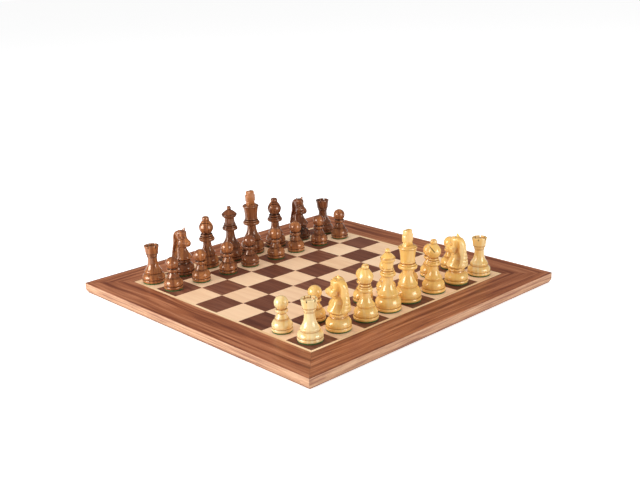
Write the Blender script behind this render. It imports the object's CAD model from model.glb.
"""A veneered chessboard with its thirty-two turned and carved men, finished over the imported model.

The scene is in metres. The tables below are in millimetres, and the outlines follow the formulas of
the part's source with finer steps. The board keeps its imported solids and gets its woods. Every man,
felt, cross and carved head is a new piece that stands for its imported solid.
"""

import math

import bpy
import numpy as np
from mathutils import Matrix, Vector


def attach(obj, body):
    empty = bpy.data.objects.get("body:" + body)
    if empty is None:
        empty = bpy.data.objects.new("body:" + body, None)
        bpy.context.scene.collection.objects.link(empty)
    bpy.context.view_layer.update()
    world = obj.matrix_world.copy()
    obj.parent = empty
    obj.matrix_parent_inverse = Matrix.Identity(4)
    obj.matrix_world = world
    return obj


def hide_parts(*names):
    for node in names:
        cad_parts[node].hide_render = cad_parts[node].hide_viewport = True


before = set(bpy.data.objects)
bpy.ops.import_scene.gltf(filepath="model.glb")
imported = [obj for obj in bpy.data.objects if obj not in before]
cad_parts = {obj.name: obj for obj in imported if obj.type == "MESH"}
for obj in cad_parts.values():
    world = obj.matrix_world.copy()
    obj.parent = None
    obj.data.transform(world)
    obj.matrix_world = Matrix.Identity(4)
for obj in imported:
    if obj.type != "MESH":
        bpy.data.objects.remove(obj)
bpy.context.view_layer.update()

MM = 0.001

# ---------- sizes of the board and the men
#
# Widths of the men are diameters. A power says how sharply a sweep bends. Steps are how far the
# forms below, on and above a ring stay inside its radius, from the lowest up. collar_under,
# ring_split, rim, cup_low, cup_edge, flare_low and flare_h are shares of a form's height.

SQUARE = 38.5
BOARD_TOP = 12.2
FELT_T = 1.5
FELT_INSET = 0.5
GLUE_LINE = 0.02
FOOT_H = 3.2
FOOT_ROUND = 0.6
GROOVE_D = 0.8
BULGE_LOW = 0.26
SKIRT_LOW, SKIRT_HIGH, SKIRT_EDGE = 0.12, 0.05, 0.95

PAWN = dict(foot=23, bulge=22.77, base=12.6, waist=13.8, skirt=15.6, body=6.4, shaft=9, power=1.1,
            collar=13.8, collar_h=4.6, collar_under=0.35, ring_out=0.6, neck=9.2, neck_h=0.6,
            head=15.5)
ROOK = dict(foot=28, bulge=27.58, base=10.4, waist=20, skirt=21.4, body=19.9, shaft=11.4, power=3,
            rings=2.8, ring_split=0.42, ring_out=0.5, ring_step=0.1, neck=12.6, turret_h=11.6,
            turret=18, cup=15.12, cup_foot=13.2, cup_low=0.12, cup_edge=0.02, flare_low=0.15,
            flare_h=0.8, flare_power=1.2, wall=2.6, hollow=2.4, hollow_floor=0.7, slots=6,
            slot_w=1.2)
KNIGHT = dict(foot=28.3, bulge=27.73, base=13, waist=17.8, stem_foot=17.6, stem=17, stem_h=2.6,
              stem_power=1.5, flare_power=1.3, seat=20, seat_steps=(0.3, 0.4))
BISHOP = dict(foot=27.9, bulge=26.23, base=13.8, waist=16.8, skirt=19.8, body=16, shaft=10.4,
              power=2.6, collar=15.6, collar_h=10.4, neck=11.4, mitre=17.2, mitre_h=16, point=1.3,
              finial=7.8, finial_h=5, finial_steps=(0.5, 0.3, 0.7, 0.8))
QUEEN = dict(foot=29.8, bulge=29.2, base=15, waist=20.4, skirt=23.8, body=22.6, shaft=11, power=3,
             collar=17.4, collar_h=10, bell=12.2, bell_h=6.4, bell_step=0.9, bell_power=1.6,
             coronet=16.8, coronet_h=10.4, rim=0.34, rim_steps=(0.3, 0.5, 0.5, 0.6),
             rim_ring=(0.4, 1.3), slope_power=1.3, ball=5.7, ball_neck=4.3)
KING = dict(foot=30.9, bulge=30.28, base=15.8, waist=20.4, skirt=22.6, body=20.2, shaft=11.4,
            power=2.4, collar=21.8, collar_h=10.8, crown_foot=16.4, crown=21.4, crown_h=15,
            flare_power=2.2, band_steps=(0.7, 0.6, 0.8), cross_h=18, cross_w=12.6, cross_t=5.4,
            cross_waist=10.2, cross_top=8.8, cross_foot=11.6)
BISHOPS = dict(white=BISHOP, dark=dict(BISHOP, body=18.2, collar=20, mitre=18.2, mitre_h=16.4,
                                       point=1.5, finial=9.2))
QUEENS = dict(white=QUEEN, dark=dict(QUEEN, collar=19.8, coronet=19.8))
MITRE_WIDEST = 0.45
SAW_CUT_W = 0.9
SAW_CUT_SLOPE = 57
# Where the saw cut lies, as shares of the mitre's diameter: how far in from its middle it goes, and
# where that middle is, forwards from the axis and up from the widest place
SAW_CUT_IN, SAW_CUT_Y, SAW_CUT_UP = 0.33, 0.28, 0.3
KINDS = ["rook", "knight", "bishop", "queen", "king", "bishop", "knight", "rook"]
FILES = "abcdefgh"
MEN = dict(pawn=PAWN, rook=ROOK, knight=KNIGHT, bishop=BISHOP, queen=QUEEN, king=KING)

# How far each man stands from the middle of its square, (x, y), for each side's pawns and officers
OFFSETS = {
    ("white", "pawn"): [(-5, 2), (1.5, -1.5), (0, 0), (0, 0), (0, 0), (0, 0), (0, 0), (0, 0)],
    ("white", "officer"): [(-2, 0.5), (0, 0), (1.5, -1.5), (0, 0), (-2.5, 3), (0, 0), (2, -1),
                           (4, -3)],
    ("dark", "pawn"): [(-4.5, 4), (-3, 2.5), (-1, 1), (-3, 2.5), (0, 0), (-2, 2), (0, 0), (0, 0)],
    ("dark", "officer"): [(-5.5, 5), (-2, 2), (-2, 1.5), (-2.5, 2), (-4, 3.5), (-3, 2.5), (0, 0),
                          (3, -3)],
}
RANKS = {("white", "pawn"): 1, ("white", "officer"): 0, ("dark", "pawn"): 6, ("dark", "officer"): 7}
TURNS = {"white_knight_b": 16, "white_bishop_c": -48, "white_bishop_f": 59, "white_knight_g": 8,
         "dark_knight_b": 12, "dark_bishop_c": -43, "dark_bishop_f": -43}

# How light the wood of each man is, from 0, the darkest blank, to 1, the lightest
TONES = {
    ("white", "pawn"): [0.8, 0.55, 0.45, 0.5, 0.5, 0.45, 0.42, 0.4],
    ("white", "officer"): [0.84, 0.55, 0.6, 0.52, 0.5, 0.48, 0.5, 0.7],
    ("dark", "pawn"): [0.68, 0.84, 0.72, 0.6, 0.72, 0.82, 0.66, 0.64],
    ("dark", "officer"): [0.82, 0.45, 0.76, 0.44, 0.68, 0.56, 0.2, 0.44],
}
HEAD_TONES = {"white_knight_b": 0.5, "white_knight_g": 0.6,
              "dark_knight_b": 0.74, "dark_knight_g": 0.46}
CROSS_TONES = {"white": 0.5, "dark": 0.95}

# ---------- turned outlines
# An outline is an array of (radius, height) rows, from the foot up to the axis, in millimetres.

ARC_STEPS = 10
SWEEP_STEPS = 14
ROUND_STEPS = 88
PAWN_ROUND_STEPS = 72


def bead(r_in, r_out, z0, z1):
    """Rounded ring: half an ellipse from z0 to z1 that stands out from r_in to r_out."""
    a, middle, half = np.radians(np.linspace(-90, 90, ARC_STEPS + 1)), (z0 + z1) / 2, (z1 - z0) / 2
    return np.column_stack([r_in + (r_out - r_in) * np.cos(a), middle + half * np.sin(a)])


def egg(r, r_low, r_high, z, h_low, h_high):
    """Part of an egg, out from r_low, in to r_high: radius r cos a, height in step with sin a."""
    a_low, a_high = math.acos(r_low / r), math.acos(r_high / r)
    low = np.linspace(a_low, 0, ARC_STEPS + 1)[:-1]
    high = np.linspace(0, a_high, ARC_STEPS + 3)
    under = np.column_stack([r * np.cos(low), z + h_low - h_low * np.sin(low) / math.sin(a_low)])
    over = np.column_stack([r * np.cos(high), z + h_low + h_high * np.sin(high) / math.sin(a_high)])
    return np.vstack([under, over])


def sweep_in(r0, r1, z, h, p):
    """Hollow sweep: the radius falls from r0 to r1 as the p-th power of the height left."""
    t = np.linspace(0, 1, SWEEP_STEPS + 1)
    return np.column_stack([r1 + (r0 - r1) * (1 - t) ** p, z + h * t])


def sweep_out(r0, r1, z, h, p):
    """Sweep that starts upright: the radius goes from r0 to r1 as the p-th power of the height."""
    t = np.linspace(0, 1, SWEEP_STEPS + 1)
    return np.column_stack([r0 + (r1 - r0) * t**p, z + h * t])


def dome(r0, r1, z, h):
    """Quarter ellipse from radius r0 at height z in to r1 at z + h."""
    a = np.radians(np.linspace(0, 90, ARC_STEPS + 1))
    return np.column_stack([r1 + (r0 - r1) * np.cos(a), z + h * np.sin(a)])


def ball(d, neck, z):
    """Ball that starts at the neck's diameter at height z and closes on the axis."""
    r, low = d / 2, math.acos(neck / d)
    a = np.linspace(-low, math.pi / 2, 2 * ARC_STEPS + 1)
    radius = np.where(a < math.pi / 2, r * np.cos(a), 0)
    return np.column_stack([radius, z + r * math.sin(low) + r * np.sin(a)])


def base_outline(m):
    """Foot ring with a softened lower edge, groove and bulge."""
    r, bulge, bulge_h = m["foot"] / 2, m["bulge"] / 2, m["base"] - FOOT_H
    low, high = BULGE_LOW * bulge_h, (1 - BULGE_LOW) * bulge_h
    return np.vstack([
        [[0, 0]],
        bead(r - FOOT_ROUND, r, 0, FOOT_H),
        egg(bulge, bulge - GROOVE_D, m["waist"] / 2, FOOT_H, low, high),
    ])


def body_outline(m):
    """The base, a rounded skirt, then a hollow sweep up into the shaft."""
    r, z, h = m["skirt"] / 2, m["base"], m["body"]
    edge, low, high = SKIRT_EDGE * r, SKIRT_LOW * h, SKIRT_HIGH * h
    return np.vstack([
        base_outline(m),
        egg(r, edge, edge, z, low, high),
        sweep_in(edge, m["shaft"] / 2, z + low + high, h - low - high, m["power"]),
    ])


# Rings of a tall man's collar, from the lowest: radius as a share of the collar's, millimetres that
# the ring stands out, and its start and end as shares of the collar's height
COLLAR_RINGS = [(1, 1, 0.06, 0.42), (0.86, 0.8, 0.42, 0.62), (0.78, 0.7, 0.68, 0.88)]
COLLAR_UNDERCUT = 1.2
COLLAR_TOP_R, COLLAR_TOP_Z = COLLAR_RINGS[-1][0], COLLAR_RINGS[-1][3]


def tall_outline(m):
    """A tall man up to its collar's top: three rings, the lowest the widest and undercut."""
    h, r, z = m["collar_h"], m["collar"] / 2, m["base"] + m["body"]
    under = sweep_out(m["shaft"] / 2, r - COLLAR_UNDERCUT, z, COLLAR_RINGS[0][2] * h, 1)
    rings = [bead(wide * r - out, wide * r, z + low * h, z + high * h)
             for wide, out, low, high in COLLAR_RINGS]
    return np.vstack([body_outline(m), under, *rings])


def pawn_outline():
    """Pawn: one undercut collar ring and a ball on a short neck."""
    m = PAWN
    collar_z, collar_r = m["base"] + m["body"], m["collar"] / 2
    under_h, neck_z = m["collar_under"] * m["collar_h"], collar_z + m["collar_h"]
    return np.vstack([
        body_outline(m),
        sweep_out(m["shaft"] / 2, collar_r - m["ring_out"], collar_z, under_h, 1),
        bead(collar_r - m["ring_out"], collar_r, collar_z + under_h, neck_z),
        [[m["neck"] / 2, neck_z]],
        ball(m["head"], m["neck"], neck_z + m["neck_h"]),
    ])


ROOK_TOP = ROOK["base"] + ROOK["body"] + ROOK["rings"] + ROOK["turret_h"]
# How the rim's edges are softened: rows of (inwards or outwards, down) in millimetres
RIM_OUTSIDE = [(0, 0.4), (0.12, 0.12), (0.4, 0)]
RIM_INSIDE = [(0.3, 0), (0.08, 0.08), (0, 0.3)]
CUP_EDGE_IN, HOLLOW_CORNER = 0.09, 0.2


def rook_outline():
    """Rook: two neck rings, then the turret, a round-bottomed cup that widens to the rim and has a
    shallow hollow in its top."""
    m = ROOK
    h, rings_z = m["turret_h"], m["base"] + m["body"]
    split, turret_z = rings_z + m["ring_split"] * m["rings"], rings_z + m["rings"]
    r, cup_r, hollow_r = m["turret"] / 2, m["cup"] / 2, m["turret"] / 2 - m["wall"]
    ring_r, floor_z = m["neck"] / 2, ROOK_TOP - m["hollow"]
    cup_low, cup_edge, flare_z = m["cup_low"] * h, m["cup_edge"] * h, turret_z + m["flare_low"] * h
    return np.vstack([
        body_outline(m),
        bead(ring_r - m["ring_out"], ring_r, rings_z, split),
        bead(ring_r - m["ring_out"], ring_r + m["ring_step"], split, turret_z),
        egg(cup_r, m["cup_foot"] / 2, cup_r - CUP_EDGE_IN, turret_z, cup_low, cup_edge),
        sweep_out(cup_r, r, flare_z, m["flare_h"] * h, m["flare_power"]),
        [[r - inwards, ROOK_TOP - down] for inwards, down in RIM_OUTSIDE],
        [[hollow_r + outwards, ROOK_TOP - down] for outwards, down in RIM_INSIDE],
        [[hollow_r, floor_z]],
        dome(hollow_r - HOLLOW_CORNER, 0, floor_z, m["hollow_floor"]),
    ])


def collar_top(m):
    return m["base"] + m["body"] + m["collar_h"]


# The mitre's shoulder as shares of its radius and of the height below it, and the heights of the
# button's underside, upper side and cap as shares of the finial's height
SHOULDER_R, SHOULDER_H = 0.99, 0.06
BUTTON_PARTS = (0.3, 0.45, 0.25)


def bishop_outline(m):
    """Bishop: a mitre, egg-shaped below and pointed above, with a small button on top."""
    h, low_z, low_h = m["mitre_h"], collar_top(m), MITRE_WIDEST * m["mitre_h"]
    r, button_r, button_z = m["mitre"] / 2, m["finial"] / 2, low_z + h
    shoulder_r, over_h = SHOULDER_R * r, SHOULDER_H * low_h
    shoulder_h = low_h + over_h
    stem_r, under_r, over_r, top_r = (button_r - step for step in m["finial_steps"])
    button_low, button_high, cap_h = (share * m["finial_h"] for share in BUTTON_PARTS)
    return np.vstack([
        tall_outline(m),
        egg(r, m["neck"] / 2, shoulder_r, low_z, low_h, over_h),
        sweep_out(shoulder_r, stem_r, low_z + shoulder_h, h - shoulder_h, m["point"]),
        egg(button_r, under_r, over_r, button_z, button_low, button_high),
        dome(top_r, 0, button_z + button_low + button_high, cap_h),
    ])


BALL_STEP = 0.3


def queen_outline(m):
    """Queen: a bell under a flaring coronet, whose top slopes in to a ball."""
    h, collar_h, collar_z = m["coronet_h"], m["collar_h"], m["base"] + m["body"]
    bell_z, coronet_z = collar_z + COLLAR_TOP_Z * collar_h, collar_top(m) + m["bell_h"]
    r, bell_r, ball_r, step = m["coronet"] / 2, m["bell"] / 2, m["ball"] / 2, m["bell_step"]
    bell_foot = COLLAR_TOP_R * m["collar"] / 2 - step
    cup_r, edge_r, ring_r, slope_r = (r - inside for inside in m["rim_steps"])
    rim_z, top_z = coronet_z + m["rim"] * h, coronet_z + h
    ring_z, slope_z = (rim_z + above for above in m["rim_ring"])
    return np.vstack([
        tall_outline(m),
        sweep_in(bell_foot, bell_r, bell_z, coronet_z - bell_z, m["bell_power"]),
        egg(cup_r, bell_r + step, edge_r, coronet_z, rim_z - coronet_z, ring_z - rim_z),
        bead(ring_r, r, ring_z, slope_z),
        sweep_out(slope_r, ball_r - BALL_STEP, slope_z, top_z - slope_z, m["slope_power"]),
        ball(m["ball"], m["ball_neck"], top_z),
    ])


CROWN_Z = collar_top(KING)
CROWN_BAND_H = 1.8
CROWN_DOME_H = 1.2
CROSS_Z = CROWN_Z + KING["crown_h"] + CROWN_DOME_H


def king_outline():
    """King: a crown that flares up to a band and a low dome, on which the cross stands."""
    m = KING
    r, collar_z = m["crown"] / 2, m["base"] + m["body"]
    flare_z = collar_z + COLLAR_TOP_Z * m["collar_h"]
    band_z, dome_z = CROWN_Z + m["crown_h"] - CROWN_BAND_H, CROWN_Z + m["crown_h"]
    flare_r, band_r, dome_r = (r - inside for inside in m["band_steps"])
    return np.vstack([
        tall_outline(m),
        sweep_out(m["crown_foot"] / 2, flare_r, flare_z, band_z - flare_z, m["flare_power"]),
        bead(band_r, r, band_z, dome_z),
        dome(dome_r, m["cross_foot"] / 2, dome_z, CROWN_DOME_H),
        [[0, CROSS_Z]],
    ])


KNIGHT_SEAT_Z = KNIGHT["base"] + KNIGHT["stem_h"]
# Heights of the stem's hollow, its flare and the seat's edge as shares of the stem's height
STEM_PARTS = (0.45, 0.3, 0.25)


def knight_outline():
    """Knight's base: a low hollow stem that widens to the seat of the head."""
    m = KNIGHT
    stem_r, seat_r, z = m["stem"] / 2, m["seat"] / 2, m["base"]
    hollow_h, flare_h, edge_h = (share * m["stem_h"] for share in STEM_PARTS)
    flare_r, edge_r = (seat_r - inside for inside in m["seat_steps"])
    return np.vstack([
        base_outline(m),
        sweep_in(m["stem_foot"] / 2, stem_r, z, hollow_h, m["stem_power"]),
        sweep_out(stem_r, flare_r, z + hollow_h, flare_h, m["flare_power"]),
        bead(edge_r, seat_r, KNIGHT_SEAT_Z - edge_h, KNIGHT_SEAT_Z),
        [[0, KNIGHT_SEAT_Z]],
    ])


# ---------- meshes

SAME_POINT = 1e-3
SHARP_DEG = 38
CARVED_SHARP_DEG = 50
GROOVE_TURN = -0.35
GROOVE_REACH = 0.9


def closed_faces(rings, around):
    """Faces of a grid of rings that goes upwards, facing out. Its lower and upper pole follow it in
    the list of points."""
    i, count = np.arange(around), rings * around
    j, last = (i + 1) % around, count - around
    k = np.arange(0, last, around)[:, None]
    walls = np.stack([k + i, k + j, k + around + j, k + around + i], -1).reshape(-1, 4)
    below = np.column_stack([np.full(around, count), j, i])
    above = np.column_stack([last + i, last + j, np.full(around, count + 1)])
    return [*walls.tolist(), *below.tolist(), *above.tolist()]


def groove_depth(outline):
    """How near each point is to an inward corner: 1 in it, 0 from GROOVE_REACH away."""
    step = np.diff(outline, axis=0)
    step /= np.linalg.norm(step, axis=1)[:, None]
    turn = step[:-1, 0] * step[1:, 1] - step[:-1, 1] * step[1:, 0]
    corners = outline[1:-1][turn < GROOVE_TURN]
    if not len(corners):
        return np.zeros(len(outline))
    away = np.linalg.norm(outline[:, None] - corners[None], axis=2).min(1)
    return np.clip(1 - away / GROOVE_REACH, 0, 1)


def angles(count, first=0.0):
    """Even angles once round a circle, in radians, the first of them first steps from zero."""
    return (np.arange(count) + first) * 2 * math.pi / count


def revolve(outline, around=ROUND_STEPS):
    """Turned solid: (r cos a, r sin a, z) for each outline point and angle, closed at the poles."""
    apart = np.linalg.norm(np.diff(outline, axis=0), axis=1) > SAME_POINT
    outline = outline[np.r_[True, apart]]
    inner = outline[1:-1]
    a = angles(around)
    grid = np.stack([inner[:, :1] * np.cos(a), inner[:, :1] * np.sin(a), inner[:, 1:] + 0 * a], -1)
    points = np.vstack([grid.reshape(-1, 3), [[0, 0, outline[0, 1]], [0, 0, outline[-1, 1]]]])
    depth = groove_depth(outline)
    groove = np.r_[np.repeat(depth[1:-1], around), depth[0], depth[-1]]
    return points, closed_faces(len(inner), around), groove


def mark(mesh, key, values, domain="POINT"):
    """Writes one number for each point or face, for the materials to read."""
    layer = mesh.attributes.new(key, "FLOAT", domain)
    layer.data.foreach_set("value", np.asarray(values, np.float32))


def make_mesh(name, points, faces, groove=None, sharp_deg=SHARP_DEG):
    """A mesh in metres from points in millimetres, smooth but for edges sharper than sharp_deg.
    groove, where given, says how deep each point lies in a groove, from 0 to 1."""
    mesh = bpy.data.meshes.new(name)
    mesh.from_pydata(np.asarray(points, float) * MM, [], faces)
    mesh.shade_smooth()
    mesh.set_sharp_from_angle(angle=math.radians(sharp_deg))
    if groove is not None:
        mark(mesh, "groove", groove)
    return mesh


def show(name, mesh):
    thing = bpy.data.objects.new(name, mesh)
    bpy.context.scene.collection.objects.link(thing)
    return thing


def box_points(low, high):
    """The eight corners of a box and its six outward faces."""
    (x0, y0, z0), (x1, y1, z1) = low, high
    points = [[x, y, z] for z in (z0, z1) for x, y in ((x0, y0), (x1, y0), (x1, y1), (x0, y1))]
    faces = [[3, 2, 1, 0], [4, 5, 6, 7], [0, 1, 5, 4], [1, 2, 6, 5], [2, 3, 7, 6], [3, 0, 4, 7]]
    return np.array(points, float), faces


def turn_matrix(axis, degrees):
    return np.array(Matrix.Rotation(math.radians(degrees), 3, axis))


def combined(mesh, tools, operation):
    """The mesh with each tool cut from it or joined to it. Faces left by a cut have sawn 1, read
    from the tools' material number."""
    body = show("blank", mesh)
    helpers = [show("tool", tool) for tool in tools]
    for each in (mesh, *tools):
        for _ in range(2):
            each.materials.append(None)
    for helper in helpers:
        numbers = np.ones(len(helper.data.polygons), np.int32)
        helper.data.polygons.foreach_set("material_index", numbers)
        change = body.modifiers.new("change", "BOOLEAN")
        change.operation, change.solver, change.object = operation, "EXACT", helper
    graph = bpy.context.evaluated_depsgraph_get()
    worked = bpy.data.meshes.new_from_object(body.evaluated_get(graph))
    for thing in (body, *helpers):
        bpy.data.objects.remove(thing)
    worked.set_sharp_from_angle(angle=math.radians(SHARP_DEG))
    cut = np.zeros(len(worked.polygons), np.int32)
    worked.polygons.foreach_get("material_index", cut)
    if operation == "DIFFERENCE":
        mark(worked, "sawn", cut, "FACE")
    worked.polygons.foreach_set("material_index", 0 * cut)
    return worked


def turned_mesh(name, outline, around=ROUND_STEPS):
    return make_mesh(name, *revolve(outline, around))


CUT_BEYOND, SLOT_FLOOR = 1, 0.1


def rook_mesh():
    """Turned rook with its slots cut through the turret's wall."""
    m = ROOK
    r, half = m["turret"] / 2, m["slot_w"] / 2
    low = [r - m["wall"] - CUT_BEYOND, -half, ROOK_TOP - m["hollow"] + SLOT_FLOOR]
    points, faces = box_points(low, [r + CUT_BEYOND, half, ROOK_TOP + CUT_BEYOND])
    turns = [turn_matrix("Z", 360 * (k + 0.5) / m["slots"]) for k in range(m["slots"])]
    cutters = [make_mesh("slot", points @ turn.T, faces) for turn in turns]
    return combined(turned_mesh("rook", rook_outline()), cutters, "DIFFERENCE")


def bishop_mesh(m):
    """Turned bishop with the slanting saw cut in its mitre."""
    d, half, widest_z = m["mitre"], SAW_CUT_W / 2, collar_top(m) + MITRE_WIDEST * m["mitre_h"]
    points, faces = box_points([-d, -SAW_CUT_IN * d, -half], [d, d, half])
    cut_y, cut_z = SAW_CUT_Y * d, widest_z + SAW_CUT_UP * d
    points = points @ turn_matrix("X", SAW_CUT_SLOPE).T + [0, cut_y, cut_z]
    saw = make_mesh("saw", points, faces)
    return combined(turned_mesh("bishop", bishop_outline(m)), [saw], "DIFFERENCE")


CROSS_MIDDLE, CROSS_ARM, CROSS_NECK = 0.49, 0.2, 0.22
CROSS_SIDE_STEPS = 9
CROSS_BEND = 1.7
CROSS_SOFT = 0.6
# How the cross's edges are eased: rows of (in from the face, in from the outline) in millimetres
CROSS_EASE = [(0, 0.35), (0.1, 0.12), (0.35, 0)]


def cross_outline():
    """Outline of the cross, (x, z) anticlockwise: hollow sides sweep from the waist to the ends."""
    h = KING["cross_h"]
    w, foot, top, arm = (KING["cross_" + key] / 2 for key in ("waist", "foot", "top", "w"))
    mid, arm_half, neck_half = CROSS_MIDDLE * h, CROSS_ARM * h, CROSS_NECK * h + CROSS_SOFT
    t = np.linspace(0, 1, CROSS_SIDE_STEPS)

    def hollow(start, stop, level_first):
        """Hollow curve: one coordinate goes evenly and the other as a power of it, so that the curve
        leaves its start level, or else comes upright to its stop."""
        (x0, z0), (x1, z1) = start, stop
        slow, quick = t**CROSS_BEND, 1 - (1 - t) ** CROSS_BEND
        across, up = (t, slow) if level_first else (quick, t)
        return np.column_stack([x0 + (x1 - x0) * across, z0 + (z1 - z0) * up])

    low_waist, high_waist = (w, mid - neck_half), (w, mid + neck_half)
    right = np.vstack([
        hollow((foot, 0), low_waist, False)[:-1],
        hollow(low_waist, (arm, mid - arm_half), True),
        hollow(high_waist, (arm, mid + arm_half), True)[::-1],
        hollow((top, h), high_waist, False)[-2::-1],
    ])
    return np.vstack([right, right[::-1] * [-1, 1]])


def cross_mesh():
    """Cross cut from flat stock: the outline, shrunk a little at both faces to ease its edges."""
    outline, half = cross_outline(), KING["cross_t"] / 2
    middle = np.array([0, 0.5 * KING["cross_h"]])
    length = np.linalg.norm(outline - middle, axis=1)[:, None]
    layers = [(in_from_face - half, inward) for in_from_face, inward in CROSS_EASE]
    layers += [(-depth, inward) for depth, inward in layers[::-1]]
    rings = []
    for depth, inward in layers:
        ring = middle + (outline - middle) * (1 - inward / length)
        rings.append(np.column_stack([ring[:, 0], np.full(len(ring), -depth), ring[:, 1]]))
    points = np.vstack([*rings, [[0, half, middle[1]], [0, -half, middle[1]]]])
    points[:, 2] += CROSS_Z + GLUE_LINE
    faces = closed_faces(len(layers), len(outline))
    return make_mesh("cross", points, faces, np.zeros(len(points)), CARVED_SHARP_DEG)


FELT_EDGE = 0.25
FELT_WAVER = 0.006
FELT_ROUND_STEPS = 64


def felt_mesh(foot):
    """Felt disc: a low drum with rounded edges. Its rim wavers, as cut cloth does: the radius is
    less by FELT_WAVER times 1 + sin 7a sin 3a."""
    r, h, soft = foot / 2 - FELT_INSET, FELT_T - GLUE_LINE, FELT_EDGE
    a = np.radians(np.linspace(0, 90, 4))
    low = np.column_stack([r - soft + soft * np.sin(a), soft - soft * np.cos(a)])
    high = np.column_stack([r - soft + soft * np.cos(a), h - soft + soft * np.sin(a)])
    outline = np.vstack([[[0, 0]], [[r * 0.5, 0]], low, high, [[r * 0.5, h]], [[0, h]]])
    points, faces, groove = revolve(outline, FELT_ROUND_STEPS)
    around = np.arctan2(points[:, 1], points[:, 0])
    points[:, :2] *= 1 - FELT_WAVER * (1 + np.sin(7 * around + 1) * np.sin(3 * around))[:, None]
    return make_mesh("felt", points, faces, 0 * groove)


# ---------- the carved head
# Rows of (share of the skull's height from seat to poll, value). Values are millimetres, and in
# HEAD_NOSE the share of the thickness that is left at the nose.

SKULL_H = 38.2
HEAD_FRONT = [[0, 8.7], [0.04, 8.6], [0.052, 7.4], [0.066, 7.4], [0.078, 10.6], [0.11, 12],
              [0.15, 11.8], [0.24, 10.2], [0.33, 8.2], [0.41, 6.8], [0.45, 6.5], [0.475, 7.8],
              [0.505, 11.4], [0.55, 14], [0.62, 15], [0.68, 14.2], [0.73, 11.4], [0.78, 9.2],
              [0.84, 8.1], [0.91, 7.9], [0.965, 7.6], [1, 5]]
HEAD_BACK = [[0, -8.7], [0.04, -8.6], [0.052, -7.4], [0.066, -7.6], [0.078, -10.8], [0.12, -13.4],
             [0.2, -13.8], [0.5, -13], [0.72, -12], [0.84, -10.8], [0.92, -9], [0.97, -7],
             [1, -4.2]]
HEAD_HALF = [[0, 8.6], [0.04, 8.5], [0.052, 7.4], [0.066, 7.4], [0.078, 9.8], [0.12, 10.6],
             [0.2, 9.7], [0.3, 8.2], [0.42, 6.9], [0.5, 6.5], [0.64, 6.4], [0.78, 6.2], [0.9, 6.1],
             [0.965, 5.6], [1, 4]]
HEAD_NOSE = [[0, 1], [0.12, 0.95], [0.3, 0.76], [0.42, 0.68], [0.5, 0.6], [0.62, 0.62],
             [0.74, 0.6], [0.86, 0.76], [1, 0.95]]
HEAD_HOLLOW = [[0, 0], [0.09, 0], [0.16, 1.6], [0.35, 3.8], [0.6, 3.8], [0.76, 2.7], [0.88, 1.2],
               [0.95, 0.2], [1, 0]]
HEAD_FOOT_H = 2.4
HEAD_LEVELS = 150
HEAD_ROUND = 176


def table(rows, level):
    """Smooth curve through the rows: stretches of cubic whose slopes never overshoot them."""
    x, y = np.array(rows, float).T
    h, slope = np.diff(x), np.diff(y) / np.diff(x)
    same_way = slope[:-1] * slope[1:] > 0
    total = np.where(same_way, slope[:-1] + slope[1:], 1)
    inner = np.where(same_way, 2 * slope[:-1] * slope[1:] / total, 0)
    tangent = np.r_[slope[0], inner, slope[-1]]
    k = np.clip(np.searchsorted(x, level, side="right") - 1, 0, len(h) - 1)
    t = (level - x[k]) / h[k]
    return (y[k] * (1 + 2 * t) * (1 - t) ** 2 + h[k] * tangent[k] * t * (1 - t) ** 2
            + y[k + 1] * t**2 * (3 - 2 * t) + h[k] * tangent[k + 1] * t**2 * (t - 1))


def rise(value, start, width):
    """Soft step: 0 up to start, 1 from start + width, and 3t^2 - 2t^3 between."""
    t = np.clip((value - start) / width, 0, 1)
    return t * t * (3 - 2 * t)


def bump(distance, width):
    """Soft bell: 1 on the line, near 0 from two widths away."""
    return np.exp(-((distance / width) ** 2))


def line_distance(y, z, ends):
    """Distance of the points (y, z) from the straight line between two ends."""
    (y0, z0), (y1, z1) = ends
    dy, dz = y1 - y0, z1 - z0
    t = np.clip(((y - y0) * dy + (z - z0) * dz) / (dy * dy + dz * dz), 0, 1)
    return np.hypot(y - y0 - t * dy, z - z0 - t * dz)


# Places on the side of the head, (forwards, up) from the seat's middle, in millimetres
EYE = (5.6, 30.2)
EYE_R = 1.75
CHEEK = (2.9, 24.2)
CHEEK_R = 5.8
CHEEK_LEVEL, CHEEK_PROUD, CHEEK_OUT = 0.64, 0.9, 1.5
NOSTRIL = (11.9, 24.6)
MOUTH = ((14.2, 21.4), (8.2, 21.6))
BROW = ((3.2, 32.2), (8.0, 30.2))
EYE_LONG, NOSTRIL_FLAT, JAW_TOP = 0.8, 1.3, 2
# How far each carved detail stands out, or is cut in where below 0, how dark it is stained, and how
# wide its bell is
CARVED = {"eye": (0.4, 0, 0.9), "brow": (0.5, 0, 1.0), "socket": (-0.4, 0.7, 0.5),
          "nostril": (-0.8, 0.9, 0.85), "mouth": (-0.6, 0.7, 0.45), "jaw": (0, 0.5, 0.6)}


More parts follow.
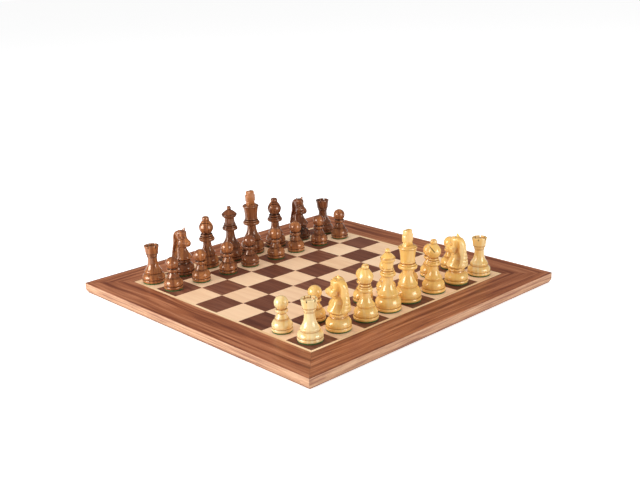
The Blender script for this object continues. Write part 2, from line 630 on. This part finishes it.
def relief(y, z, half):
    """Half thickness of the head after carving, and how dark the carved lines are, from 0 to 1. The
    cheek is part of a ball, and each detail of CARVED is a soft bell across its own line."""
    cheek_x = np.interp(CHEEK_LEVEL, *np.array(HEAD_HALF, float).T) - CHEEK_R + CHEEK_PROUD
    under = CHEEK_R**2 - (y - CHEEK[0]) ** 2 - (z - CHEEK[1]) ** 2
    ball_x = cheek_x + np.sqrt(np.clip(under, 0, None))
    out = np.where(under > 0, np.maximum(half, np.minimum(ball_x, half + CHEEK_OUT)), half)
    eye = np.hypot((y - EYE[0]) * EYE_LONG, z - EYE[1])
    cheek = np.sqrt(np.clip(CHEEK_R**2 - under, 0, None)) - CHEEK_R
    distances = {
        "eye": eye,
        "brow": line_distance(y, z, BROW),
        "socket": eye - EYE_R,
        "nostril": np.hypot(y - NOSTRIL[0], (z - NOSTRIL[1]) * NOSTRIL_FLAT),
        "mouth": line_distance(y, z, MOUTH),
        "jaw": np.where(z < CHEEK[1] + JAW_TOP, cheek, np.inf),
    }
    raised = dark = 0
    for key, distance in distances.items():
        stands_out, stain, width = CARVED[key]
        bell = bump(distance, width)
        raised, dark = raised + stands_out * bell, dark + stain * bell
    return out + raised, np.clip(dark, 0, 1)


LOCKS = 9
LOCK_DEPTH = 0.12
LOCK_SLANT = 0.35
NOTCH_DEPTH = 0.6
MANE_SOLID, MANE_EDGE, EDGE_W = 0.13, 0.2, 0.06
HOLLOW_END = 0.6
STEM_LINE = (0.046, 0.07)
# Soft steps as (start, width): up the head for the notches and locks, and forwards for the nose
NOTCHES_BEGIN, NOTCHES_END = (0.1, 0.05), (0.5, 0.3)
LOCKS_BEGIN, LOCKS_END = (0.12, 0.1), (0.8, 0.15)
NOSE_TAPER = (0.45, 0.5)
ROUNDNESS = 3.2


def between_locks(level):
    """1 on the line between two locks and 0 in their middles, as 1 - |sin|^0.5."""
    return 1 - np.abs(np.sin(LOCKS * math.pi * level)) ** 0.5


def head_grid(shade):
    """Level sections. share is 0 at the back and 1 at the nose, and the half thickness tapers to the
    nose and goes as the root of 1 - |2 share - 1|^ROUNDNESS, which rounds off both ends. A hollow
    falls off at the mane's edge and rises softly to the front, locks are cut in the mane and notch
    its back, and relief adds the carved details. Returns the points and how dark each is stained:
    shade is how much a millimetre of the hollow counts."""
    level = np.linspace(0, 1, HEAD_LEVELS + 1)[:, None]
    a = angles(HEAD_ROUND, 0.5)
    share = ((1 - np.cos(a)) / 2)[None, :]
    notch = between_locks(level)
    notched = rise(level, *NOTCHES_BEGIN) * (1 - rise(level, *NOTCHES_END))
    back = table(HEAD_BACK, level) + NOTCH_DEPTH * notch * notched
    y = back + (table(HEAD_FRONT, level) - back) * share
    z = level * SKULL_H + 0 * share
    taper = 1 - (1 - table(HEAD_NOSE, level)) * rise(share, *NOSE_TAPER)
    runs_out = rise(share, MANE_EDGE + EDGE_W, HOLLOW_END - MANE_EDGE)
    sunk = table(HEAD_HOLLOW, level) * rise(share, MANE_EDGE, EDGE_W) * (1 - runs_out)
    has_locks = rise(level, *LOCKS_BEGIN) * (1 - rise(level, *LOCKS_END))
    on_mane = (1 - rise(share, MANE_SOLID, EDGE_W)) * has_locks
    cuts = LOCK_DEPTH * on_mane * between_locks(level - LOCK_SLANT * share)
    carved, dark = relief(y, z, table(HEAD_HALF, level) * taper - sunk - cuts)
    x = np.sign(np.sin(a)) * carved * np.sqrt(1 - np.abs(2 * share - 1) ** ROUNDNESS)
    dark = np.clip(dark + cuts + shade * sunk, 0, 1)
    stem_line = (level > STEM_LINE[0]) & (level < STEM_LINE[1])
    return np.stack([x, y, z], -1), np.where(stem_line, 1.0, dark)


EAR_STEPS = 17
EAR_ROUND = 24
EAR_R, EAR_TIP_R = 3.0, 0.12
EAR_FLAT = 0.55
EAR_HOLLOW = 0.5
EAR_CLOSES, EAR_BENDS, EAR_DARK = 1.8, 1.5, 1.8
EAR_ROOT = (3.8, 0.2, 35.4)
EAR_LEAN = (1.5, 2.2, 6.2)


def ear_mesh(side, shade):
    """Ear: flat rings, closer together towards the tip, whose radius goes as 1 - t^EAR_CLOSES, so
    that they stay wide and then close. They lean out and forward, and are pressed hollow on the
    outer side by cos^2 a and sin^0.7 pi t. shade is how dark all of it is stained."""
    t = np.linspace(0, 1, EAR_STEPS)[:, None] ** 0.8
    a = angles(EAR_ROUND)
    radius = EAR_R * (1 - t**EAR_CLOSES) + EAR_TIP_R
    hollow = EAR_HOLLOW * np.clip(np.cos(a), 0, 1) ** 2 * np.sin(math.pi * t) ** 0.7
    x = EAR_ROOT[0] + EAR_LEAN[0] * t + radius * (EAR_FLAT * np.cos(a) - hollow)
    y = EAR_ROOT[1] + EAR_LEAN[1] * t**EAR_BENDS + radius * np.sin(a)
    z = EAR_ROOT[2] + EAR_LEAN[2] * t + 0 * a
    grid, dark = np.stack([side * x, y, z], -1), np.clip(EAR_DARK * hollow + shade, 0, 1)
    if side < 0:
        grid, dark = grid[:, ::-1], dark[:, ::-1]
    tip = grid[-1].mean(0) + [0, 0, EAR_TIP_R]
    points = np.vstack([grid.reshape(-1, 3), grid[0].mean(0), tip])
    points[:, 2] += KNIGHT_SEAT_Z
    faces = closed_faces(EAR_STEPS, EAR_ROUND)
    return make_mesh("ear", points, faces, [*dark.ravel(), shade, shade])


def head_mesh(hollow_shade, ear_shade):
    """The carved head with both ears joined on."""
    grid, dark = (values[:, ::-1] for values in head_grid(hollow_shade))
    points = np.vstack([grid.reshape(-1, 3), [[0, 0, 0], [0, 0.6, SKULL_H + 0.1]]])
    points[:, 2] += KNIGHT_SEAT_Z
    faces = closed_faces(HEAD_LEVELS + 1, HEAD_ROUND)
    head = make_mesh("head", points, faces, [*dark.ravel(), 0, 0], CARVED_SHARP_DEG)
    return combined(head, [ear_mesh(side, ear_shade) for side in (1, -1)], "UNION")


# ---------- materials

def srgb(red, green, blue):
    """A colour as it shows on a screen, 0 to 255, as the linear value that a shader takes."""
    shown = np.array([red, green, blue]) / 255
    linear = np.where(shown <= 0.04045, shown / 12.92, ((shown + 0.055) / 1.055) ** 2.4)
    return (*linear.tolist(), 1.0)


def feed(tree, node, inputs):
    """Sets a node's inputs. Each value is a plain one or the output that feeds the input."""
    for key, value in inputs.items():
        if isinstance(value, bpy.types.NodeSocket):
            tree.links.new(value, node.inputs[key])
        else:
            node.inputs[key].default_value = value


def add(tree, kind, inputs=None, **settings):
    """Adds a shader node with its settings, and feeds its inputs, given by name or number."""
    made = tree.nodes.new("ShaderNode" + kind)
    for key, value in settings.items():
        setattr(made, key, value)
    feed(tree, made, inputs or {})
    return made


def maths(tree, operation, a, b=0.0, c=0.0):
    return add(tree, "Math", {0: a, 1: b, 2: c}, operation=operation).outputs[0]


def times(tree, a, b):
    return maths(tree, "MULTIPLY", a, b)


def plus(tree, a, b):
    return maths(tree, "ADD", a, b)


def minus(tree, a, b):
    return maths(tree, "SUBTRACT", a, b)


def blend(tree, share, a, b):
    """Colour a, going over to colour b as share goes from 0 to 1."""
    return add(tree, "Mix", {0: share, 6: a, 7: b}, data_type="RGBA").outputs[2]


def between(tree, value, low, high, out_low=0.0, out_high=1.0):
    """value taken from the range low to high onto out_low to out_high, and held there."""
    return add(tree, "MapRange", {0: value, 1: low, 2: high, 3: out_low, 4: out_high},
               interpolation_type="SMOOTHSTEP").outputs[0]


def three_tones(tree, share, pale, middle, deep):
    """Deep, then middle, then pale colour as share goes from 0 to 1."""
    colour = blend(tree, between(tree, share, 0.0, 0.5), deep, middle)
    return blend(tree, between(tree, share, 0.5, 1.0), colour, pale)


def darken(tree, colour, *layers):
    """The colour under layers, each given as (where it lies from 0 to 1, its strength, colour)."""
    for share, most, darker in layers:
        colour = blend(tree, times(tree, share, most), colour, darker)
    return colour


def noise(tree, vector, detail, rough=0.5, scale=1.0):
    inputs = {"Vector": vector, "Scale": scale, "Detail": detail, "Roughness": rough}
    return add(tree, "TexNoise", inputs, noise_dimensions="3D").outputs["Fac"]


def axes(tree, vector):
    return add(tree, "SeparateXYZ", {0: vector}).outputs


def in_mm(tree, vector):
    """The three coordinates of a place in the scene, in millimetres."""
    return [times(tree, part, 1 / MM) for part in axes(tree, vector)]


def new_group(name, inputs, outputs):
    """An empty shader group. inputs and outputs name its sockets, all numbers but for Vector."""
    group = bpy.data.node_groups.new(name, "ShaderNodeTree")
    for keys, direction in ((inputs, "INPUT"), (outputs, "OUTPUT")):
        for key in keys:
            kind = "NodeSocketVector" if key == "Vector" else "NodeSocketFloat"
            group.interface.new_socket(key, in_out=direction, socket_type=kind)
    return group, group.nodes.new("NodeGroupInput").outputs, group.nodes.new("NodeGroupOutput")


# Fibres and pores against the streaks: their share of the streak's length and width
WANDER_SIZE = (0.6, 4.0)
FIBRE_SIZE = (0.4, 0.16)
PORE_SIZE = (0.09, 0.07)


def wood_fibres():
    """Grain of one blank or veneer, as noise that is stretched along it: Streaks are soft bands,
    Fibres fine lines and Pores short dashes. Along, Across and Deep are millimetres in the wood."""
    group, given, result = new_group(
        "wood fibres",
        ["Along", "Across", "Deep", "Streak Width", "Streak Length", "Waviness"],
        ["Streaks", "Fibres", "Pores"],
    )
    along, across, deep, width, length, waviness = given[:6]

    def stretched(x, size):
        long, wide = times(group, length, size[0]), times(group, width, size[1])
        parts = ((along, long), (x, wide), (deep, wide))
        scaled = {i: maths(group, "DIVIDE", part, by) for i, (part, by) in enumerate(parts)}
        return add(group, "CombineXYZ", scaled).outputs[0]

    wander = noise(group, stretched(across, WANDER_SIZE), 1.0)
    bent = plus(group, across, times(group, minus(group, wander, 0.5), waviness))
    streaks = noise(group, stretched(bent, (1.0, 1.0)), 3.0, 0.55)
    fibres = noise(group, stretched(bent, FIBRE_SIZE), 2.0, 0.6)
    pores = noise(group, stretched(bent, PORE_SIZE), 1.0)
    feed(group, result, {"Streaks": between(group, streaks, 0.3, 0.7),
                         "Fibres": between(group, fibres, 0.28, 0.72),
                         "Pores": between(group, pores, 0.6, 0.72)})
    return group


JOINT_W = 0.45
SQUARE_JOINT = (0.05, 0.3)
CELL_SEED, SHIFT_MM = 3.0, 400.0


def frame_sides():
    """Four mitred lengths round a square: Along and Across run with each length, Side tells them
    apart, and Mitre is 1 on the joints, where x and y are equally far from the middle."""
    outputs = ["Along", "Across", "Side", "Mitre"]
    group, given, result = new_group("frame sides", ["Vector"], outputs)
    x, y, _ = in_mm(group, given[0])
    far_x, far_y = maths(group, "ABSOLUTE", x), maths(group, "ABSOLUTE", y)
    upright = maths(group, "GREATER_THAN", far_x, far_y)
    level = minus(group, 1.0, upright)

    def pick(on_upright, on_level):
        return plus(group, times(group, upright, on_upright), times(group, level, on_level))

    across = pick(x, y)
    side = plus(group, times(group, upright, 2.0), maths(group, "GREATER_THAN", across, 0.0))
    off_joint = maths(group, "ABSOLUTE", minus(group, far_x, far_y))
    feed(group, result, {"Along": pick(y, x), "Across": across, "Side": side,
                         "Mitre": between(group, off_joint, 0.0, JOINT_W, 1.0, 0.0)})
    return group


def square_cells():
    """One random number and one random shift for each square, from its file and rank, and Joint,
    which is 1 on the lines between the squares."""
    group, given, result = new_group("square cells", ["Vector"], ["Tint", "Shift", "Joint"])
    cells, edges = [], []
    for part in axes(group, given[0])[:2]:
        place = plus(group, maths(group, "DIVIDE", part, SQUARE * MM), len(FILES) / 2)
        cells.append(maths(group, "FLOOR", place))
        inside = minus(group, maths(group, "FRACT", place), 0.5)
        edges.append(minus(group, 0.5, maths(group, "ABSOLUTE", inside)))
    cell = add(group, "CombineXYZ", {0: cells[0], 1: cells[1], 2: CELL_SEED}).outputs[0]
    white = add(group, "TexWhiteNoise", {"Vector": cell}, noise_dimensions="3D")
    other = add(group, "SeparateColor", {0: white.outputs["Color"]}).outputs[1]
    nearest = times(group, maths(group, "MINIMUM", *edges), SQUARE)
    feed(group, result, {"Tint": white.outputs["Value"], "Shift": times(group, other, SHIFT_MM),
                         "Joint": between(group, nearest, *SQUARE_JOINT, 1.0, 0.0)})
    return group


FIBRES, SIDES, CELLS = wood_fibres(), frame_sides(), square_cells()


def new_material(name):
    """A material, its tree, its Principled shader, and the place on the piece."""
    material = bpy.data.materials.new(name)
    material.use_nodes = True
    tree = material.node_tree
    shader = next(n for n in tree.nodes if n.type == "BSDF_PRINCIPLED")
    return material, tree, shader, add(tree, "TexCoord").outputs["Object"]


def use_group(tree, group, inputs):
    return add(tree, "Group", inputs, node_tree=group).outputs


def use_fibres(tree, along, across, deep, streak_w, streak_l, waviness):
    return use_group(tree, FIBRES, {"Along": along, "Across": across, "Deep": deep,
                                    "Streak Width": streak_w, "Streak Length": streak_l,
                                    "Waviness": waviness})


def bump_map(tree, height, depth_mm, strength):
    inputs = {"Strength": strength, "Distance": depth_mm * MM, "Height": height}
    return add(tree, "Bump", inputs).outputs[0]


def finish(tree, shader, colour, grain, roughness, depth_mm, strength, plain):
    """Feeds a wood's shader: roughness goes between its two values over the fibres, which stand up
    in the bump while the pores are sunk. plain holds the values that are the same all over."""
    height = minus(tree, times(tree, grain["Fibres"], 0.5), grain["Pores"])
    feed(tree, shader, {"Base Color": colour, **plain,
                        "Roughness": between(tree, grain["Fibres"], 0.0, 1.0, *roughness),
                        "Normal": bump_map(tree, height, depth_mm, strength)})


# Where the blank of a man lies in the log: askew, so that the rings cross the man at a slant
ACROSS_LOG, INTO_LOG = (0.8, -0.6), (0.15, 0.2)
STREAK_W, STREAK_L, STREAK_WAVES = 3.4, 70.0, 4.0
FIBRE_SHARE, END_GRAIN_SHARE, GROOVE_SHARE, SAWN_SHARE = 0.08, 0.2, 0.82, 0.85


def men_wood(name, streaky, pale, middle, deep, stain, soot, gleam):
    """Lacquered turned wood: three tones by streak and by the blank's own tone, fibres up the man,
    deeper end grain, stain in the grooves and soot in the saw cuts. gleam tints the highlights."""
    material, tree, shader, place = new_material(name)
    x, y, z = in_mm(tree, place)
    across, into = (plus(tree, times(tree, x, by_x), times(tree, y, by_y))
                    for by_x, by_y in (ACROSS_LOG, INTO_LOG))
    grain = use_fibres(tree, z, across, into, STREAK_W, STREAK_L, STREAK_WAVES)
    tone, groove, sawn = (add(tree, "Attribute", attribute_name=key).outputs["Fac"]
                          for key in ("tone", "groove", "sawn"))
    streak = times(tree, minus(tree, grain["Streaks"], 0.5), streaky)
    colour = three_tones(tree, plus(tree, streak, tone), pale, middle, deep)
    facing = axes(tree, add(tree, "NewGeometry").outputs["Normal"])
    end_grain = between(tree, maths(tree, "ABSOLUTE", facing[2]), 0.45, 1.0)
    fibre = between(tree, grain["Fibres"], 0.55, 1.0)
    colour = darken(tree, colour, (fibre, FIBRE_SHARE, deep), (end_grain, END_GRAIN_SHARE, stain),
                    (groove, GROOVE_SHARE, stain), (sawn, SAWN_SHARE, soot))
    finish(tree, shader, colour, grain, (0.17, 0.21), 0.02, 0.25,
           {"IOR": 1.75, "Specular Tint": gleam, "Coat Weight": 0.8, "Coat Roughness": 0.19,
            "Coat IOR": 1.6})
    return material


def felt_cloth():
    """Green felt: matted tangled fibres, dull, with a short nap that catches light at the rim."""
    material, tree, shader, place = new_material("green felt")
    scaled = add(tree, "VectorMath", {0: place, "Scale": 1 / MM}, operation="SCALE").outputs[0]
    coarse, fine = noise(tree, scaled, 4.0, 0.7), noise(tree, scaled, 3.0, 0.7, 6.0)
    mat = plus(tree, times(tree, coarse, 0.4), times(tree, fine, 0.6))
    colour = blend(tree, between(tree, mat, 0.3, 0.7), srgb(40, 72, 30), srgb(92, 122, 62))
    feed(tree, shader, {"Base Color": colour, "Roughness": 0.95, "Specular IOR Level": 0.15,
                        "Sheen Weight": 0.3, "Sheen Roughness": 0.5,
                        "Normal": bump_map(tree, mat, 0.12, 0.8)})
    return material


SATIN = {"Specular IOR Level": 0.3}
NEXT_LENGTH, NEXT_DEPTH = 613.0, 37.0


def frame_wood(name, streaks, gloss, pale, middle, deep, joint):
    """Wood in four mitred lengths, each another piece: streaks, as (width, length, waviness), run
    along each, and a dark hairline marks the joints."""
    material, tree, shader, place = new_material(name)
    sides = use_group(tree, SIDES, {"Vector": place})
    along = plus(tree, sides["Along"], times(tree, sides["Side"], NEXT_LENGTH))
    into = plus(tree, in_mm(tree, place)[2], times(tree, sides["Side"], NEXT_DEPTH))
    grain = use_fibres(tree, along, sides["Across"], into, *streaks)
    colour = three_tones(tree, grain["Streaks"], pale, middle, deep)
    fibre = between(tree, grain["Fibres"], 0.5, 1.0)
    colour = darken(tree, colour, (fibre, 0.45, deep), (grain["Pores"], 0.3, joint),
                    (sides["Mitre"], 0.7, joint))
    finish(tree, shader, colour, grain, (gloss, gloss + 0.1), 0.04, 0.4, SATIN)
    return material


def square_veneer(name, contrast, pale, middle, deep, joint):
    """Squares cut from many sheets: grain along the files, each square with its own tint and place.
    contrast is how much of the tone the streaks decide, against the square's own tint."""
    material, tree, shader, place = new_material(name)
    cells = use_group(tree, CELLS, {"Vector": place})
    across, along = (plus(tree, part, cells["Shift"]) for part in in_mm(tree, place)[:2])
    grain = use_fibres(tree, along, across, cells["Shift"], 6.0, 90.0, 9.0)
    streak, tint = times(tree, grain["Streaks"], contrast), times(tree, cells["Tint"], 1 - contrast)
    colour = three_tones(tree, plus(tree, streak, tint), pale, middle, deep)
    fibre = between(tree, grain["Fibres"], 0.5, 1.0)
    colour = darken(tree, colour, (fibre, 0.3, deep), (cells["Joint"], 0.4, joint))
    finish(tree, shader, colour, grain, (0.34, 0.44), 0.03, 0.35, SATIN)
    return material


def colours(*rows):
    return [srgb(*row) for row in rows]


# Colours of each wood: pale, middle, deep, then stain, soot and gleam, or the joints'
WOODS = {
    "white": men_wood("boxwood", 0.35, *colours((255, 230, 172), (252, 202, 112), (236, 164, 72),
                                                (178, 102, 40), (96, 54, 22), (255, 236, 200))),
    "dark": men_wood("dark hardwood", 0.4, *colours((192, 122, 70), (130, 74, 44), (56, 30, 20),
                                                    (50, 27, 18), (26, 12, 8), (255, 206, 166))),
}
FELT = felt_cloth()
BOARD = {
    "border_veneer": frame_wood("walnut border", (5.0, 150.0, 10.0), 0.34, *colours(
        (184, 120, 85), (154, 91, 59), (114, 60, 39), (78, 40, 28))),
    "stringing": frame_wood("maple line", (2.0, 120.0, 2.0), 0.4, *colours(
        (250, 222, 182), (243, 208, 164), (226, 184, 138), (190, 146, 104))),
    "edge_lipping": frame_wood("lipping wood", (2.2, 90.0, 4.0), 0.5, *colours(
        (222, 178, 142), (206, 157, 122), (162, 112, 88), (96, 54, 38))),
    "core_panel": frame_wood("core panel", (1.2, 6.0, 2.0), 0.6, *colours(
        (196, 160, 118), (182, 142, 100), (150, 112, 76), (120, 86, 60))),
    "backing_veneer": frame_wood("backing veneer", (6.0, 160.0, 12.0), 0.45, *colours(
        (170, 116, 84), (146, 92, 64), (110, 64, 44), (90, 50, 34))),
    "light_squares": square_veneer("maple squares", 0.35, *colours(
        (249, 215, 178), (244, 206, 168), (232, 189, 150), (190, 140, 104))),
    "dark_squares": square_veneer("dark walnut squares", 0.5, *colours(
        (140, 90, 68), (114, 68, 50), (88, 48, 36), (60, 32, 30))),
}
for node, material in BOARD.items():
    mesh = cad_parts[node].data
    mesh.materials.clear()
    mesh.materials.append(material)


# ---------- the men, set up for play

SLOTS = {"white": "boxwood", "dark": "dark_hardwood"}
MIDDLE_SQUARE = (len(FILES) - 1) / 2


def place_on_square(side, rank_kind, i, man):
    """Where a man stands, as a matrix in metres, turned to face the other side."""
    dx, dy = OFFSETS[side, rank_kind][i]
    x = (i - MIDDLE_SQUARE) * SQUARE + dx
    y = (RANKS[side, rank_kind] - MIDDLE_SQUARE) * SQUARE + dy
    turn = (180 if side == "dark" else 0) + TURNS.get(man, 0)
    spot = Matrix.Translation((x * MM, y * MM, BOARD_TOP * MM))
    return spot @ Matrix.Rotation(math.radians(turn), 4, "Z")


def set_piece(name, pattern, matrix, height, man, node, slot, material, tone, foot=None):
    """A copy of a pattern mesh, put in place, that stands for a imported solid. Its foot, where one
    is given as (height, tone), has its own tone."""
    mesh = pattern.copy()
    mesh.name = name
    values = np.full(len(mesh.vertices), tone, np.float32)
    if foot:
        places = np.empty(len(mesh.vertices) * 3, np.float32)
        mesh.vertices.foreach_get("co", places)
        values[places[2::3] < foot[0] * MM] = foot[1]
    mesh.transform(matrix @ Matrix.Translation((0, 0, height * MM)))
    mark(mesh, "tone", values)
    mesh.materials.clear()
    mesh.materials.append(material)
    piece = show(name, mesh)
    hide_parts(node)
    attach(piece, man + "_man")


ALIKE = {
    "pawn": turned_mesh("pawn", pawn_outline(), PAWN_ROUND_STEPS),
    "rook": rook_mesh(),
    "knight": turned_mesh("knight", knight_outline()),
    "king": turned_mesh("king", king_outline()),
}
TURNED = {
    side: dict(ALIKE, bishop=bishop_mesh(BISHOPS[side]),
               queen=turned_mesh("queen", queen_outline(QUEENS[side])))
    for side in ("white", "dark")
}
CROSS = cross_mesh()
# How dark the stain lies in the heads: for each millimetre of the hollow, and all over the ears
HEAD_SHADES = {"white": (0.17, 0), "dark": (0.06, 0.5)}
HEADS = {side: head_mesh(*shades) for side, shades in HEAD_SHADES.items()}
FELTS = {kind: felt_mesh(m["foot"]) for kind, m in MEN.items()}

for side in ("white", "dark"):
    for i in range(len(FILES)):
        for rank_kind in ("pawn", "officer"):
            kind = "pawn" if rank_kind == "pawn" else KINDS[i]
            man = f"{side}_{kind}" if kind in ("queen", "king") else f"{side}_{kind}_{FILES[i]}"
            spot = place_on_square(side, rank_kind, i, man)
            tone = TONES[side, rank_kind][i]
            wood = (SLOTS[side], WOODS[side])
            felt = (man if kind == "pawn" else man + "_felt", "green_felt", FELT, tone)
            set_piece(man + "_turned", TURNED[side][kind], spot, FELT_T, man, man, *wood, tone)
            set_piece(man + "_felt_disc", FELTS[kind], spot, 0, man, *felt)
            if kind == "king":
                cross_tone = CROSS_TONES[side]
                set_piece(man + "_cross", CROSS, spot, FELT_T, man, man, *wood, cross_tone)
            if kind == "knight":
                foot = (KNIGHT_SEAT_Z + HEAD_FOOT_H, tone)
                set_piece(man + "_carved_head", HEADS[side], spot, FELT_T, man, man + "_head",
                          *wood, HEAD_TONES[man], foot)


# ---------- floor, light and camera

WHITE_LEVEL = 1.0
AMBIENT = 0.4
GLOSS_SEES = 0.12
FLOOR_GLOW = 0.6
FLOOR_HALF = 6.0
FLOOR_Z = -0.0004
FLOOR_GREY = (0.9, 0.9, 0.9, 1)
WHITE = (1, 1, 1, 1)
LAMPS = [
    # name, place, aim, width, height, watts, whether it shows as a highlight in the varnish
    ("left softbox", (-1.5, 0.5, 0.55), (0, 0, 0.05), 1.0, 0.85, 23.0, True),
    ("right softbox", (0.35, -1.6, 0.5), (0, 0, 0.05), 0.85, 0.75, 11.0, True),
    ("top softbox", (0.2, 0.3, 1.7), (0, 0, 0), 1.2, 1.2, 14.0, False),
]


def bare_tree(owner):
    """The nodes of a material or world, with none in them."""
    owner.use_nodes = True
    owner.node_tree.nodes.clear()
    return owner.node_tree


def light_floor():
    """White floor: lit by the lamps, with a little light of its own towards the camera alone."""
    mesh = bpy.data.meshes.new("floor")
    w = FLOOR_HALF
    corners = [(x, y, FLOOR_Z) for x, y in ((-w, -w), (w, -w), (w, w), (-w, w))]
    mesh.from_pydata(corners, [], [(0, 1, 2, 3)])
    material = bpy.data.materials.new("white floor")
    tree = bare_tree(material)
    seen = add(tree, "LightPath").outputs["Is Camera Ray"]
    diffuse = add(tree, "BsdfDiffuse", {"Color": FLOOR_GREY}).outputs[0]
    strength = times(tree, seen, FLOOR_GLOW)
    glow = add(tree, "Emission", {"Color": WHITE, "Strength": strength}).outputs[0]
    both = add(tree, "AddShader", {0: diffuse, 1: glow}).outputs[0]
    add(tree, "OutputMaterial", {"Surface": both})
    mesh.materials.append(material)
    show("floor", mesh)


def light_world():
    """White surroundings: WHITE_LEVEL seen by the camera, GLOSS_SEES in reflections and AMBIENT as
    light on the object."""
    world = bpy.data.worlds.new("white room")
    tree = bare_tree(world)
    path = add(tree, "LightPath").outputs
    seen = maths(tree, "MAXIMUM", path["Is Camera Ray"], path["Is Transmission Ray"])
    unseen = plus(tree, times(tree, path["Is Glossy Ray"], GLOSS_SEES - AMBIENT), AMBIENT)
    strength = maths(tree, "MAXIMUM", times(tree, seen, WHITE_LEVEL), unseen)
    background = add(tree, "Background", {"Color": WHITE, "Strength": strength})
    add(tree, "OutputWorld", {"Surface": background.outputs[0]})
    bpy.context.scene.world = world


def light_lamps():
    for name, place, aim, width, height, watts, glints in LAMPS:
        lamp = bpy.data.lights.new(name, "AREA")
        lamp.shape = "RECTANGLE"
        lamp.size, lamp.size_y, lamp.energy = width, height, watts
        holder = show(name, lamp)
        holder.location = place
        holder.visible_glossy = glints
        holder.rotation_euler = (Vector(aim) - Vector(place)).to_track_quat("-Z", "Y").to_euler()


FOCAL_PX = 987.75
FRAME_PX = 640
SENSOR_MM = 36.0
CAMERA_PLACE = Vector((-0.76846, -0.82644, 0.41233))
CAMERA_AIM = Vector((0.09099, 0.08951, 0.01220))
CAMERA_ROLL_DEG = -1.888


def set_camera():
    """Camera at the photograph's angle: it looks from the a1 corner, rolled a little clockwise."""
    data = bpy.data.cameras.new("camera")
    data.sensor_width = SENSOR_MM
    data.lens = FOCAL_PX * SENSOR_MM / FRAME_PX
    forward = (CAMERA_AIM - CAMERA_PLACE).normalized()
    level = forward.cross(Vector((0, 0, 1))).normalized()
    right = Matrix.Rotation(math.radians(-CAMERA_ROLL_DEG), 3, forward) @ level
    up = right.cross(forward)
    turn = Matrix((right, up, -forward)).transposed().to_4x4()
    camera = show("camera", data)
    camera.matrix_world = Matrix.Translation(CAMERA_PLACE) @ turn
    bpy.context.scene.camera = camera


light_floor()
light_world()
light_lamps()
set_camera()
bpy.context.scene.view_settings.view_transform = "Standard"
